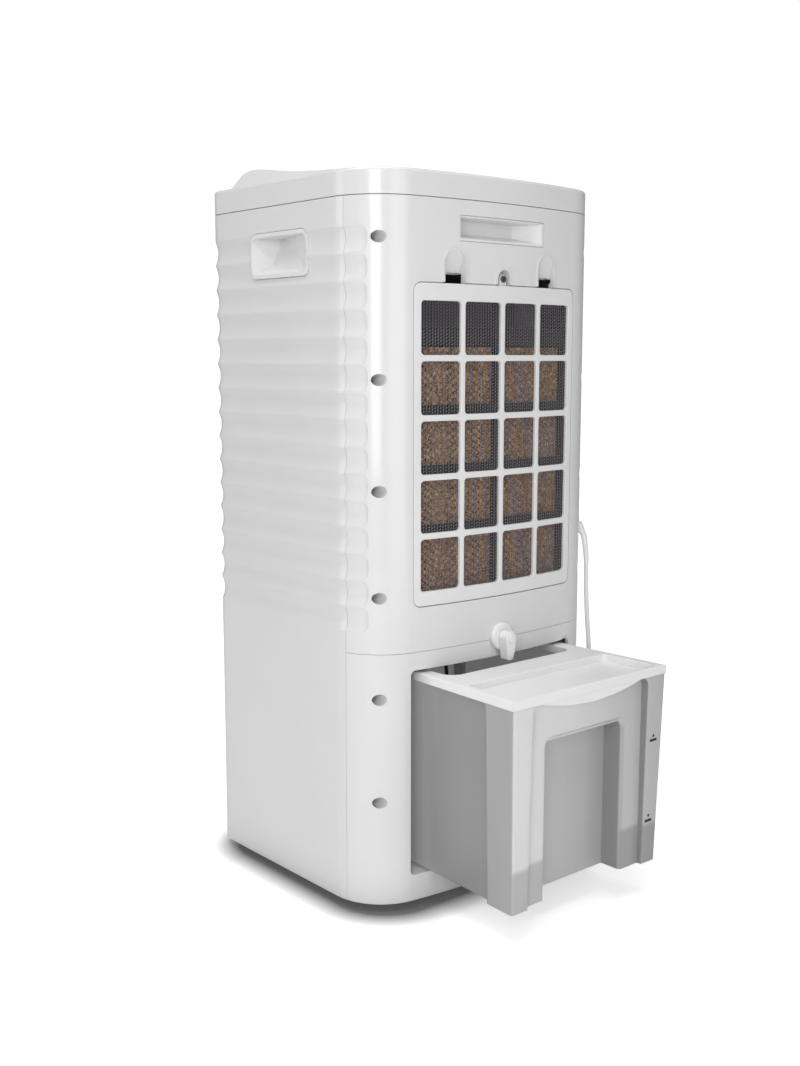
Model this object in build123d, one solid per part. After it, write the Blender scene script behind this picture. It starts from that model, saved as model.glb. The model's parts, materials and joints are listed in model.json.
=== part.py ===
from build123d import *
import math
import os

# Tower evaporative cooler. All sizes are in millimetres, +Z is up, and the floor is at z = 0.
# The air outlet faces -Y. The pad grille, the water tank and its latch are on the rear, facing +Y.
# The tank is drawn out to its filling stop. The shapes are written about the tower's vertical
# centre line and are moved to the origin, the centre of the whole footprint, when they are saved.

# --- Driving dimensions: tower ---
BODY_W = 314.0
BODY_D = 276.6
LID_TOP = 700.0
FOOT_H = 8.0
SEAM = 0.6
FINE_SEAM = 0.3
LID_SEAM_Z = 676.0
PANEL_SEAM_Z = 254.7
SHELL_SEAM_Y = 88.0
REAR_R = 56.0
FRONT_R = 20.0
BOW_R = 752.0
SIDE_WALL = 4.5
FRONT_WALL = 7.0
REAR_WALL = 4.0
WAIST_DEPTH = 3.7
WAIST_Z = 340.0
HALF_W = BODY_W / 2
REAR_Y = BODY_D / 2
FRONT_Y = -BODY_D / 2
BOW_Y = REAR_Y - BOW_R
CORNER_X = HALF_W - REAR_R
CORNER_Y = BOW_Y + math.sqrt((BOW_R - REAR_R) ** 2 - CORNER_X**2)

# --- Driving dimensions: flutes on the sides ---
FLUTE_COUNT = 15
FLUTE_PITCH = 25.0
FLUTE_LOW_Z = 275.0
FLUTE_CHORD = 23.0
FLUTE_DEPTH = 2.5
FLUTE_REAR_DEG = 38.0
FLUTE_FRONT_DEG = 80.0
FLUTE_END_R = 8.0

# --- Driving dimensions: rear face ---
GRILLE_HALF_W = 107.0
GRILLE_LOW_Z = 298.0
GRILLE_TOP_Z = 599.3
GRILLE_R = 8.0
GRILLE_T = 3.3
GRILLE_GAP = 0.7
GRILLE_COLS = 4
GRILLE_ROWS = 5
CELL_W = 45.6
CELL_H = 49.6
CELL_PITCH_X = 50.7
CELL_PITCH_Z = 55.4
CELL_LOW_Z = 312.0
CELL_R = 3.5
LEDGE_T = 3.4
TAB_Z = 605.5
TAB_W = 9.0
TAB_FACE_Y = 136.5
GRIP_X = 61.0
GRIP_W = 25.0
GRIP_TOP_Z = 630.0
GRIP_RING = 0.9
GRIP_RING_W = 2.0
GRIP_SHELF_Z = 608.5
REAR_CUP_HALF_W = 56.6
REAR_CUP_LOW_Z = 638.4
REAR_CUP_TOP_Z = 661.4
HANDLE_Y = -13.0
HANDLE_Z = 629.5
HANDLE_DEEP_Y = -36.0
SCREW_X = 137.5
SCREW_ZS = (110.0, 211.0, 308.5, 408.5, 511.0, 639.0)
SCREW_RECESS_R = 5.5
SCREW_FLOOR_Y = 98.0

# --- Driving dimensions: tank and latch ---
BAY_HALF_W = 110.0
BAY_LOW_Z = 33.8
BAY_TOP_Z = 237.2
TANK_FACE_Y = 262.0
TANK_BACK_Y = -6.0
TANK_TOP_Z = 233.8
COVER_T = 8.6
TANK_HALF_FACE = 106.0
TANK_HALF_BACK = 92.8
TANK_DRAFT = 5.0
TANK_LOW_Z = 37.2
BLOCK_LOW_Z = 34.8
BLOCK_Y = 225.0
BLOCK_PROUD = 3.0
TANK_WALL = 2.6
TANK_CORNER_R = 2.4
STEP_CORNER_R = 7.0
ARCH_EDGE_R = 1.2
DEEP_FLARE = 3.0
COVER_EDGE_R = 1.2
LIP_HALF_W = 70.0
LIP_DROP = 9.5
ARCH_HALF_W = 80.0
ARCH_DEPTH = 9.0
DEEP_HALF_W = 53.0
DEEP_TOP_Z = 187.0
DEEP_FLOOR_Y = 230.0
LATCH_Z = 257.0
LATCH_TIP_Z = 234.5
LATCH_HEAD_Y = 143.8

# --- Driving dimensions: inside ---
DECK_Z = 243.0
DECK_T = 3.0
PAD_HALF_W = 102.0
PAD_BACK_Y = 84.0
PAD_FACE_Y = 116.0
PAD_LOW_Z = 268.2
PAD_TOP_Z = 541.0
HOLDER_FACE_Y = 122.5
FAN_X = -4.0
FAN_Z = 352.0
SCROLL_R = 96.0
THROAT_X0 = 12.0
THROAT_X1 = 92.0
SCROLL_FRONT_Y = -70.0
SCROLL_REAR_Y = 28.0
SHEET = 2.5
WHEEL_R = 80.0
WHEEL_FRONT_Y = -66.0
WHEEL_REAR_Y = 24.0
BLADES = 36
SHAFT_R = 4.0
MOTOR_R = 42.0
DUCT_LOW_Z = 455.0
PUMP_X = -48.0
PUMP_Y = 18.0

# --- Driving dimensions: air outlet ---
OUTLET_HALF_W = 122.0
OUTLET_LOW_Z = 462.0
OUTLET_TOP_Z = 632.0
OUTLET_FRONT_Y = -134.0
OUTLET_REAR_Y = -95.0
OUTLET_T = 4.0
LOUVRES = 6
LOUVRE_CHORD = 19.0
LOUVRE_Y = -123.5
VANES = 6
VANE_CHORD = 16.0
VANE_Y = -104.0
VANE_PITCH = 37.0
CRANK_R = 6.0
PIN_R = 2.0
RUNNING = 0.05

# --- Driving dimensions: console ---
CONSOLE_FRONT_Y = -103.0
CONSOLE_TOP_Z = 716.5
CONSOLE_HALF_W = 151.0
SLOPE_FOOT = (CONSOLE_FRONT_Y, LID_TOP)
SLOPE_HEAD = (-91.5, 714.0)
BUTTON_XS = (-78.0, -48.0, 48.0, 78.0)
BUTTON_NAMES = ("power", "speed", "swing", "cool")
BUTTON_R = 5.0

# --- Driving dimensions: mains lead ---
CORD_D = 5.0
EXIT_POINT = (-144.3, 110.3)
EXIT_DIR = (-0.774, 0.633)
GLAND_Z = 354.7
COIL_CENTRE = (-204.0, 26.0)
COIL_IN_R = 17.0
COIL_OUT_R = 39.7
COIL_H = 10.2
CORD_ROUTE = [
    (-149.3, 114.4, 342.0),
    (-151.2, 116.0, 330.0),
    (-151.9, 116.6, 312.0),
    (-152.3, 116.4, 286.0),
    (-153.8, 117.6, 252.0),
    (-156.0, 120.0, 212.0),
    (-157.6, 121.0, 168.0),
    (-157.8, 119.6, 124.0),
    (-157.0, 118.0, 90.0),
    (-157.0, 118.6, 64.0),
    (-158.0, 117.4, 42.0),
    (-160.5, 111.5, 22.0),
    (-165.0, 100.5, 8.5),
    (-169.5, 84.5, 2.7),
    (-171.0, 66.0, 2.7),
    (-169.5, 48.0, 2.7),
    (-167.4, 31.0, 2.7),
]
PLUG_REAR_Y = -8.0
PLUG_L = 34.0
PLUG_X = -171.0
PLUG_AXIS_Z = 9.0

ORIGIN_Y = (TANK_FACE_Y + FRONT_Y) / 2
parts = {}


def outline(inset, front_inset=None):
    """Plan of the tower moved inwards: flat front, straight sides, round rear corners, bowed rear."""
    front_inset = inset if front_inset is None else front_inset
    side = HALF_W - inset
    front = FRONT_Y + front_inset
    front_r = max(FRONT_R - inset, 3.0)
    corner_r = REAR_R - inset
    end = math.atan2(CORNER_Y - BOW_Y, CORNER_X)
    turn = (side - front_r * (1 - math.cos(math.pi / 4)), front + front_r * (1 - math.cos(math.pi / 4)))
    mid = (CORNER_X + corner_r * math.cos(end / 2), CORNER_Y + corner_r * math.sin(end / 2))
    tangent = (CORNER_X + corner_r * math.cos(end), CORNER_Y + corner_r * math.sin(end))
    edges = [
        Line((-side + front_r, front), (side - front_r, front)),
        ThreePointArc((side - front_r, front), turn, (side, front + front_r)),
        Line((side, front + front_r), (side, CORNER_Y)),
        ThreePointArc((side, CORNER_Y), mid, tangent),
        ThreePointArc(tangent, (0, REAR_Y - inset), (-tangent[0], tangent[1])),
        ThreePointArc((-tangent[0], tangent[1]), (-mid[0], mid[1]), (-side, CORNER_Y)),
        Line((-side, CORNER_Y), (-side, front + front_r)),
        ThreePointArc((-side, front + front_r), (-turn[0], turn[1]), (-side + front_r, front)),
    ]
    return make_face(edges)


def slab(z_low, z_high, inset, front_inset=None):
    """The tower's plan as a solid between two heights."""
    return Pos(0, 0, z_low) * extrude(outline(inset, front_inset), amount=z_high - z_low)


def span(x0, x1, y0, y1, z0, z1):
    """A box given by its limits."""
    return Pos((x0 + x1) / 2, (y0 + y1) / 2, (z0 + z1) / 2) * Box(x1 - x0, y1 - y0, z1 - z0)


def rod(start, end, radius):
    """A round bar between two points."""
    start = Vector(*start)
    end = Vector(*end)
    plane = Plane(origin=start, z_dir=end - start)
    return extrude(plane * Circle(radius), amount=(end - start).length)


def rounded_window(x0, x1, z0, z1, radius, y0, y1):
    """A bar along Y with a rounded rectangular section."""
    plane = Plane(origin=((x0 + x1) / 2, y1, (z0 + z1) / 2), x_dir=(1, 0, 0), z_dir=(0, -1, 0))
    return extrude(plane * RectangleRounded(x1 - x0, z1 - z0, radius), amount=y1 - y0)


def arch_bar(x, width, z_low, z_top, y0, y1):
    """A bar along Y whose section is a door shape with a round top."""
    radius = width / 2
    edges = [
        Line((x - radius, z_low), (x + radius, z_low)),
        Line((x + radius, z_low), (x + radius, z_top - radius)),
        ThreePointArc((x + radius, z_top - radius), (x, z_top), (x - radius, z_top - radius)),
        Line((x - radius, z_top - radius), (x - radius, z_low)),
    ]
    plane = Plane(origin=(0, y1, 0), x_dir=(1, 0, 0), z_dir=(0, -1, 0))
    return extrude(plane * make_face(edges), amount=y1 - y0)


def side_prism(points, x0, x1):
    """A solid along X from a closed outline given as (y, z) points."""
    plane = Plane(origin=(x0, 0, 0), x_dir=(0, 1, 0), z_dir=(1, 0, 0))
    return extrude(plane * make_face(Polyline(*points, close=True)), amount=x1 - x0)


def both_sides(shape):
    """A shape and its mirror image across the tower's centre plane."""
    return [shape, mirror(shape, about=Plane.YZ)]


def surface_edges(shape, inset):
    """Edges of a shape that lie on the bowed rear surface moved inwards by inset."""
    keep = []
    for edge in shape.edges():
        spots = [edge.position_at(share) for share in (0.1, 0.5, 0.9)]
        if all(abs(math.hypot(spot.X, spot.Y - BOW_Y) - (BOW_R - inset)) < 0.02 for spot in spots):
            keep.append(edge)
    return keep


def waist_cut():
    """The very shallow hollow curve of the front face, as a cutter along X."""
    high = LID_TOP - WAIST_Z
    edges = [
        ThreePointArc((FRONT_Y, WAIST_Z - high), (FRONT_Y + WAIST_DEPTH, WAIST_Z), (FRONT_Y, WAIST_Z + high)),
        Line((FRONT_Y, WAIST_Z + high), (FRONT_Y - 5, WAIST_Z + high)),
        Line((FRONT_Y - 5, WAIST_Z + high), (FRONT_Y - 5, WAIST_Z - high)),
        Line((FRONT_Y - 5, WAIST_Z - high), (FRONT_Y, WAIST_Z - high)),
    ]
    plane = Plane(origin=(-HALF_W - 5, 0, 0), x_dir=(0, 1, 0), z_dir=(1, 0, 0))
    return extrude(plane * make_face(edges), amount=BODY_W + 10)


def flute_section(x):
    """One flute's cross-section, standing in the XZ plane with its mouth at x."""
    half = FLUTE_CHORD / 2
    edges = [
        ThreePointArc((x, -half), (x - FLUTE_DEPTH, 0), (x, half)),
        Line((x, half), (x + 1.5, half)),
        Line((x + 1.5, half), (x + 1.5, -half)),
        Line((x + 1.5, -half), (x, -half)),
    ]
    return Plane.XZ * make_face(edges)


def flute_cutter():
    """One flute round a side: front corner, straight side, and a rounded end on the rear corner."""
    section = flute_section(HALF_W)
    front_y = FRONT_Y + FRONT_R
    straight = extrude(Pos(0, front_y, 0) * section, amount=CORNER_Y - front_y, dir=(0, 1, 0))
    front_axis = Axis((HALF_W - FRONT_R, front_y, 0), (0, 0, -1))
    front = revolve(Pos(0, front_y, 0) * section, axis=front_axis, revolution_arc=FLUTE_FRONT_DEG)
    rear_axis = Axis((CORNER_X, CORNER_Y, 0), (0, 0, 1))
    rear = revolve(Pos(0, CORNER_Y, 0) * section, axis=rear_axis, revolution_arc=FLUTE_REAR_DEG + 6)
    angle = math.radians(FLUTE_REAR_DEG)
    normal = (math.cos(angle), math.sin(angle), 0)
    along = (-math.sin(angle), math.cos(angle), 0)
    end = (CORNER_X + REAR_R * normal[0], CORNER_Y + REAR_R * normal[1], 0)
    plane = Plane(origin=end, x_dir=along, z_dir=normal)
    trim = plane * (Pos(-60, 0, -18) * extrude(RectangleRounded(120, FLUTE_CHORD, FLUTE_END_R), amount=30))
    return straight + front + (rear & trim)


def flute_cutters():
    """All flutes of both sides."""
    one = flute_cutter()
    cutters = []
    for index in range(FLUTE_COUNT):
        z = FLUTE_LOW_Z + FLUTE_PITCH * (index + 0.5)
        cutters += both_sides(Pos(0, 0, z) * one)
    return cutters


def screw_boss(z):
    """The tube behind one housing screw's recess, before it is drilled."""
    return rod((SCREW_X, SCREW_FLOOR_Y - 7, z), (SCREW_X, REAR_Y, z), SCREW_RECESS_R + 2)


def screw_drill(z):
    """The recess and the clearance hole of one housing screw."""
    recess = rod((SCREW_X, SCREW_FLOOR_Y, z), (SCREW_X, REAR_Y + 5, z), SCREW_RECESS_R)
    hole = rod((SCREW_X, 60, z), (SCREW_X, SCREW_FLOOR_Y + 1, z), 1.9)
    return recess + hole


def front_shell():
    """One-piece front and sides, with the air outlet, the two handle openings and the flutes."""
    low = FOOT_H
    high = LID_SEAM_Z - SEAM / 2
    body = slab(low, high, 0) - slab(low - 1, high + 1, SIDE_WALL, FRONT_WALL)
    body &= span(-200, 200, -200, SHELL_SEAM_Y - FINE_SEAM / 2, 0, LID_TOP)
    for z in SCREW_ZS:
        post = span(SCREW_X - 5, HALF_W - SIDE_WALL + 0.5, 62, SHELL_SEAM_Y - FINE_SEAM / 2, z - 5, z + 5)
        pilot = rod((SCREW_X, 60, z), (SCREW_X, SHELL_SEAM_Y, z), 1.7)
        for piece in both_sides(post - pilot):
            body += piece
    body -= waist_cut()
    outlet_x = OUTLET_HALF_W + 0.3
    body -= span(-outlet_x, outlet_x, -150, -120, OUTLET_LOW_Z - 0.3, OUTLET_TOP_Z + 0.3)
    window = Plane(origin=(HALF_W - 12, HANDLE_Y, HANDLE_Z), x_dir=(0, 1, 0), z_dir=(1, 0, 0))
    opening = window * extrude(RectangleRounded(95.4, 44.4, 9.2), amount=20)
    body -= both_sides(opening)
    return body - flute_cutters()


def rear_shell():
    """Upper rear shell: grille rebate and ledge, finger grips, handle opening and the lead's notch."""
    low = PANEL_SEAM_Z + FINE_SEAM / 2
    high = LID_SEAM_Z - SEAM / 2
    keep = span(-200, 200, SHELL_SEAM_Y + FINE_SEAM / 2, 200, low, high)
    body = (slab(low, high, 0) - slab(low - 1, high + 1, REAR_WALL)) & keep
    rim_x = GRILLE_HALF_W + 5
    ledge = slab(low, high, 3.6) - slab(low - 1, high + 1, 3.6 + LEDGE_T)
    ledge &= span(-rim_x, rim_x, 100, 200, GRILLE_LOW_Z - 5, GRILLE_TOP_Z + 5)
    body += ledge
    skin = slab(low, high, 0.4)
    for x in (-GRIP_X, GRIP_X):
        body += skin & span(x - 15.5, x + 15.5, 118, 140, GRIP_SHELF_Z, GRIP_TOP_Z + 4)
    body += skin & span(-12, 12, 122, 140, GRILLE_TOP_Z + 1, TAB_Z + 12)
    ring_low = GRILLE_TOP_Z + GRILLE_GAP + 0.6
    raised = slab(low, high, -GRIP_RING) & span(-120, 120, 130, 150, ring_low, GRIP_TOP_Z + 4)
    for x, width, top in ((-GRIP_X, GRIP_W, GRIP_TOP_Z), (GRIP_X, GRIP_W, GRIP_TOP_Z), (0, 17, TAB_Z + 8.5)):
        body += raised & arch_bar(x, width + 2 * GRIP_RING_W, 590, top + GRIP_RING_W, 130, 146)
    for z in SCREW_ZS[2:]:
        for piece in both_sides(skin & screw_boss(z)):
            body += piece
    gap = GRILLE_GAP
    x_gap = GRILLE_HALF_W + gap
    rebate = rounded_window(-x_gap, x_gap, GRILLE_LOW_Z - gap, GRILLE_TOP_Z + gap, GRILLE_R + gap, 100, 145)
    body -= rebate - slab(low - 1, high + 1, 3.6)
    inner_x = GRILLE_HALF_W - 4
    body -= rounded_window(-inner_x, inner_x, GRILLE_LOW_Z + 4, GRILLE_TOP_Z - 4, GRILLE_R - 2, 100, 145)
    ramp = [(146, 632), (136.6, 630), (127, 609.5), (121.5, 609.5), (121.5, 597.5), (146, 597.5)]
    for x in (-GRIP_X, GRIP_X):
        wedge = side_prism(ramp, x - GRIP_W / 2, x + GRIP_W / 2)
        body -= wedge & arch_bar(x, GRIP_W, 590, GRIP_TOP_Z, 110, 146)
        body -= span(x - GRIP_W / 2, x + GRIP_W / 2, 110, 123, GRILLE_TOP_Z + 1.4, GRIP_SHELF_Z)
    body -= arch_bar(0, 17, 597.2, TAB_Z + 8.5, 129, 146)
    body -= rod((0, 115, TAB_Z), (0, 140, TAB_Z), 2.0)
    x_cup = REAR_CUP_HALF_W + 0.3
    body -= rounded_window(-x_cup, x_cup, REAR_CUP_LOW_Z - 0.3, REAR_CUP_TOP_Z + 0.3, 2.3, 100, 145)
    for z in SCREW_ZS[2:]:
        body -= both_sides(screw_drill(z))
    body -= rod((0, 120, LATCH_Z), (0, 145, LATCH_Z), 8.3)
    body -= gland_hole()
    return body - flute_cutters()


def rear_lower_panel():
    """Lower rear panel with the tank's opening, a shallow notch over it and a lip under the tank."""
    low = FOOT_H
    high = PANEL_SEAM_Z - FINE_SEAM / 2
    keep = span(-200, 200, SHELL_SEAM_Y + FINE_SEAM / 2, 200, low, high)
    body = (slab(low, high, 0) - slab(low - 1, high + 1, REAR_WALL)) & keep
    skin = slab(low, high, 0.4)
    for z in SCREW_ZS[:2]:
        for piece in both_sides(skin & screw_boss(z)):
            body += piece
    body -= rounded_window(-BAY_HALF_W, BAY_HALF_W, BAY_LOW_Z, BAY_TOP_Z, 5, 100, 145)
    notch = rounded_window(-107, -98, BAY_TOP_Z - 4, BAY_TOP_Z + 3.6, 0.8, 100, 145)
    body -= notch - slab(low - 1, high + 1, 2.0)
    body += slab(BAY_LOW_Z - 3, BAY_LOW_Z, 2.0) & span(-BAY_HALF_W, BAY_HALF_W, 98, 140, 0, BAY_LOW_Z)
    for z in SCREW_ZS[:2]:
        body -= both_sides(screw_drill(z))
    return body - rod((0, 120, LATCH_Z), (0, 145, LATCH_Z), 8.3)


def base_pan():
    """Floor of the tower, with an upstand inside the shells and two rails under the tank."""
    floor = slab(FOOT_H, FOOT_H + 3, 4.9, FRONT_WALL + 0.4)
    upstand = slab(FOOT_H, 30, 4.9, FRONT_WALL + 0.4) - slab(FOOT_H, 31, 7.4, FRONT_WALL + 3)
    pan = floor + upstand
    for rail in both_sides(span(74, 85, -124, 95, FOOT_H + 2, TANK_LOW_Z - 0.5)):
        pan += rail
    return pan


def rubber_feet():
    """Four round feet."""
    spots = [(-120, -104), (120, -104), (-112, 90), (112, 90)]
    return [Pos(x, y, FOOT_H / 2) * Cylinder(13, FOOT_H) for x, y in spots]


def top_lid():
    """Lid with a skirt, rounded top edge and an opening under the console."""
    low = LID_SEAM_Z + SEAM / 2
    lid = slab(low, LID_TOP, 0)
    lid = fillet(lid.faces().sort_by(Axis.Z)[-1].edges(), 3.0)
    lid -= slab(low - 1, LID_TOP - 3, 3.5)
    return lid - span(-104, 104, -99, -58, 690, 705)


def slope_plane(x, depth):
    """Plane on the console's front slope at x, moved inwards by depth; its +Z points outwards."""
    dy = SLOPE_HEAD[0] - SLOPE_FOOT[0]
    dz = SLOPE_HEAD[1] - SLOPE_FOOT[1]
    length = math.hypot(dy, dz)
    normal = Vector(0, -dz / length, dy / length)
    middle = Vector(x, (SLOPE_HEAD[0] + SLOPE_FOOT[0]) / 2, (SLOPE_HEAD[1] + SLOPE_FOOT[1]) / 2)
    return Plane(origin=middle - normal * depth, x_dir=(1, 0, 0), z_dir=normal)


def control_console():
    """Raised wedge on the lid: a steep button face to the front and a long fall to the rear."""
    crest = [SLOPE_HEAD, (-80, CONSOLE_TOP_Z), (-55, 715.2), (-15, 709.3), (40, 703.6), (88, 700.4)]
    edges = [
        Line(SLOPE_FOOT, SLOPE_HEAD),
        Spline(*crest),
        Line(crest[-1], (88, LID_TOP)),
        Line((88, LID_TOP), SLOPE_FOOT),
    ]
    plane = Plane(origin=(-CONSOLE_HALF_W, 0, 0), x_dir=(0, 1, 0), z_dir=(1, 0, 0))
    wedge = extrude(plane * make_face(edges), amount=2 * CONSOLE_HALF_W)
    top_half = CONSOLE_HALF_W - 9
    section = Polyline(
        (-CONSOLE_HALF_W, LID_TOP), (CONSOLE_HALF_W, LID_TOP), (top_half, 718), (-top_half, 718), close=True
    )
    front = Plane(origin=(0, -110, 0), x_dir=(1, 0, 0), z_dir=(0, -1, 0))
    wedge &= extrude(front * make_face(section), amount=-210)
    hollow = [(-97.5, 699), (-97.5, 700.5), (-88, 711.5), (-60, 711.5), (-60, 699)]
    wedge -= side_prism(hollow, -103, 103)
    for x in BUTTON_XS:
        wedge -= slope_plane(x, 6) * extrude(Circle(BUTTON_R + 0.15), amount=10)
    wedge -= slope_plane(0, 1.5) * extrude(Rectangle(64.3, 12.3), amount=5)
    for x in (-63, 63):
        wedge += slope_plane(x, 8.0) * extrude(Circle(2), amount=6)
    return wedge


def display_window():
    """Smoked window over the display."""
    return slope_plane(0, 1.4) * extrude(RectangleRounded(64, 12, 1), amount=1.6)


def console_button(x):
    """One push button: cap through the console's face, with a collar behind it."""
    cap = slope_plane(x, 5.9) * extrude(Circle(BUTTON_R), amount=7.1)
    collar = slope_plane(x, 5.9) * extrude(Circle(BUTTON_R + 0.9), amount=0.9)
    return cap + collar


def control_board():
    """Circuit board parallel to the button face, with a switch under each button."""
    board = slope_plane(0, 9.6) * extrude(Rectangle(190, 13), amount=1.6)
    for x in BUTTON_XS:
        board += slope_plane(x, 8.1) * extrude(Rectangle(6, 6), amount=1.0)
    return board


def side_handle_pocket(half_y, half_z, grow):
    """The faceted hollow of a side handle, deepest at its upper front; grow pushes its inner line out."""
    face = HALF_W + 0.01
    spots = [(-half_y, half_z), (half_y, half_z), (half_y, -half_z), (-half_y, -half_z)]
    mouth = [Vector(face, HANDLE_Y + y, HANDLE_Z + z) for y, z in spots]
    top_left, top_right, low_right, low_left = mouth
    deep_top = Vector(HALF_W - 24 - 1.6 * grow, HANDLE_DEEP_Y, HANDLE_Z + 19.6 + grow)
    deep_low = Vector(HALF_W - 10 - 1.6 * grow, HANDLE_DEEP_Y, HANDLE_Z - 8.9 - grow)
    rings = [
        (top_left, top_right, low_right, low_left),
        (top_left, deep_top, top_right),
        (top_left, deep_low, deep_top),
        (top_left, low_left, deep_low),
        (low_left, low_right, deep_low),
        (deep_low, low_right, deep_top),
        (low_right, top_right, deep_top),
    ]
    faces = [Face(Wire.make_polygon(ring, close=True)) for ring in rings]
    return Solid(Shell(faces))


def side_handle_cup():
    """Moulded cup behind the handle opening of one side."""
    plane = Plane(origin=(HALF_W - 5.5, HANDLE_Y, HANDLE_Z), x_dir=(0, 1, 0), z_dir=(1, 0, 0))
    bezel = plane * extrude(RectangleRounded(94.8, 43.8, 9), amount=5.5)
    cup = bezel + (side_handle_pocket(48.5, 19.8, 2.0) & span(100, HALF_W - 5, -100, 60, 590, 670))
    mouth = Plane(origin=(100, HANDLE_Y, HANDLE_Z), x_dir=(0, 1, 0), z_dir=(1, 0, 0))
    throat = mouth * extrude(RectangleRounded(91, 35.2, 7.5), amount=60)
    return cup - (side_handle_pocket(46.5, 17.8, 0.0) & throat)


def rear_handle_cup():
    """Moulded funnel-shaped handle above the grille."""
    x = REAR_CUP_HALF_W
    block = rounded_window(-x, x, REAR_CUP_LOW_Z, REAR_CUP_TOP_Z, 2, 114, 145) & slab(600, 675, 0)
    mouth = Plane(origin=(0, 139, 0), x_dir=(1, 0, 0), z_dir=(0, -1, 0))
    back = Plane(origin=(0, 118, 0), x_dir=(1, 0, 0), z_dir=(0, -1, 0))
    outer = mouth * (Pos(0, 649.9) * Rectangle(2 * x - 3, 20))
    inner = back * (Pos(12, 652.5) * Rectangle(84, 13))
    cup = block - loft([outer, inner])
    return fillet(surface_edges(cup, 0), 0.6)


def housing_screws():
    """Pan-head screws at the bottom of the recesses."""
    screws = []
    for z in SCREW_ZS:
        head = rod((SCREW_X, SCREW_FLOOR_Y, z), (SCREW_X, SCREW_FLOOR_Y + 2.6, z), 4.0)
        shank = rod((SCREW_X, 68, z), (SCREW_X, SCREW_FLOOR_Y, z), 1.6)
        slot = Pos(SCREW_X, SCREW_FLOOR_Y + 2.4, z) * Box(5.2, 2, 1)
        screws += both_sides(head + shank - slot)
    return screws


def grille_frame():
    """Bowed grille panel with rounded cells and the screw tab at its top."""
    plate = slab(GRILLE_LOW_Z - 1, GRILLE_TOP_Z + 1, 0) - slab(GRILLE_LOW_Z - 2, GRILLE_TOP_Z + 2, GRILLE_T)
    x = GRILLE_HALF_W
    plate &= rounded_window(-x, x, GRILLE_LOW_Z, GRILLE_TOP_Z, GRILLE_R, 100, 145)
    for col in range(GRILLE_COLS):
        for row in range(GRILLE_ROWS):
            x = (col - (GRILLE_COLS - 1) / 2) * CELL_PITCH_X
            z = CELL_LOW_Z + row * CELL_PITCH_Z
            plate -= rounded_window(x - CELL_W / 2, x + CELL_W / 2, z, z + CELL_H, CELL_R, 100, 145)
    tab = span(-TAB_W / 2, TAB_W / 2, 131.5, TAB_FACE_Y, GRILLE_TOP_Z - 1.6, TAB_Z)
    tab += rod((0, 131.5, TAB_Z), (0, TAB_FACE_Y, TAB_Z), TAB_W / 2)
    panel = plate + tab - rod((0, 120, TAB_Z), (0, 145, TAB_Z), 1.75)
    return fillet(surface_edges(panel, 0), 0.8)


def filter_mesh():
    """Dust filter sheet clipped behind the grille panel."""
    skin = slab(GRILLE_LOW_Z, GRILLE_TOP_Z, GRILLE_T + 0.1) - slab(280, 620, GRILLE_T + 1.0)
    return skin & rounded_window(-101.5, 101.5, GRILLE_LOW_Z + 5.6, GRILLE_TOP_Z - 5.6, 7, 100, 145)


def grille_screw():
    """Captive screw of the grille panel."""
    head = rod((0, TAB_FACE_Y, TAB_Z), (0, TAB_FACE_Y + 1.7, TAB_Z), 3.2)
    shank = rod((0, 121, TAB_Z), (0, TAB_FACE_Y, TAB_Z), 1.5)
    return head + shank - span(-0.5, 0.5, TAB_FACE_Y + 0.7, TAB_FACE_Y + 3, TAB_Z - 2.2, TAB_Z + 2.2)


def pad_holder():
    """Dark cage in front of and beside the cooling pad, standing on the deck."""
    low = DECK_Z + DECK_T
    cage = span(-107, 107, PAD_BACK_Y, HOLDER_FACE_Y, 262, 592)
    cage -= span(-104.5, 104.5, PAD_BACK_Y - 1, HOLDER_FACE_Y + 1, 268, 589)
    for leg in both_sides(span(104.5, 107, PAD_BACK_Y, HOLDER_FACE_Y, low, 300)):
        cage += leg
    bar_back_y = PAD_FACE_Y + 0.5
    cage += span(-11, -6, bar_back_y, HOLDER_FACE_Y, 266, 590)
    for z in (364, 421, 478):
        cage += span(-105, 105, bar_back_y, HOLDER_FACE_Y, z, z + 9)
    return cage - rod((-110, 97, 553), (-100, 97, 553), 5.0)


def cooling_pad():
    """Corrugated cellulose pad, as its plain outer block."""
    return span(-PAD_HALF_W, PAD_HALF_W, PAD_BACK_Y, PAD_FACE_Y, PAD_LOW_Z, PAD_TOP_Z)


def water_trough():
    """Distributor above the pad: an open trough with drip holes and a spigot for the hose."""
    trough = span(-103.5, 103.5, 84, 112, 543, 560) - span(-101.5, 101.5, 86, 110, 545, 561)
    for index in range(14):
        x = -91 + index * 14
        trough -= rod((x, 98, 540), (x, 98, 547), 1.5)
    trough += rod((-107.5, 97, 553), (-102, 97, 553), 4.6)
    return trough - rod((-108, 97, 553), (-101, 97, 553), 3.2)


def drip_deck():
    """Deck between the tank bay and the air path; it drains into the tank's open well."""
    deck = slab(DECK_Z, DECK_Z + DECK_T, 5.0, FRONT_WALL + 0.4)
    deck &= span(-200, 200, -200, 126.5, 200, 300)
    rim_top = DECK_Z + DECK_T + 5
    rim = span(-120, 120, -4, 126.5, DECK_Z, rim_top)
    rim -= span(-117.5, 117.5, -1.5, 124.0, DECK_Z - 1, rim_top + 1)
    deck += rim & slab(DECK_Z, rim_top, 5.0)
    deck -= rod((PUMP_X - 10, PUMP_Y, 240), (PUMP_X - 10, PUMP_Y, 250), 6.6)
    deck -= rod((PUMP_X + 12, PUMP_Y, 240), (PUMP_X + 12, PUMP_Y, 250), 2.4)
    return deck - rod((20, PUMP_Y, 240), (20, PUMP_Y, 250), 8)


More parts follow.
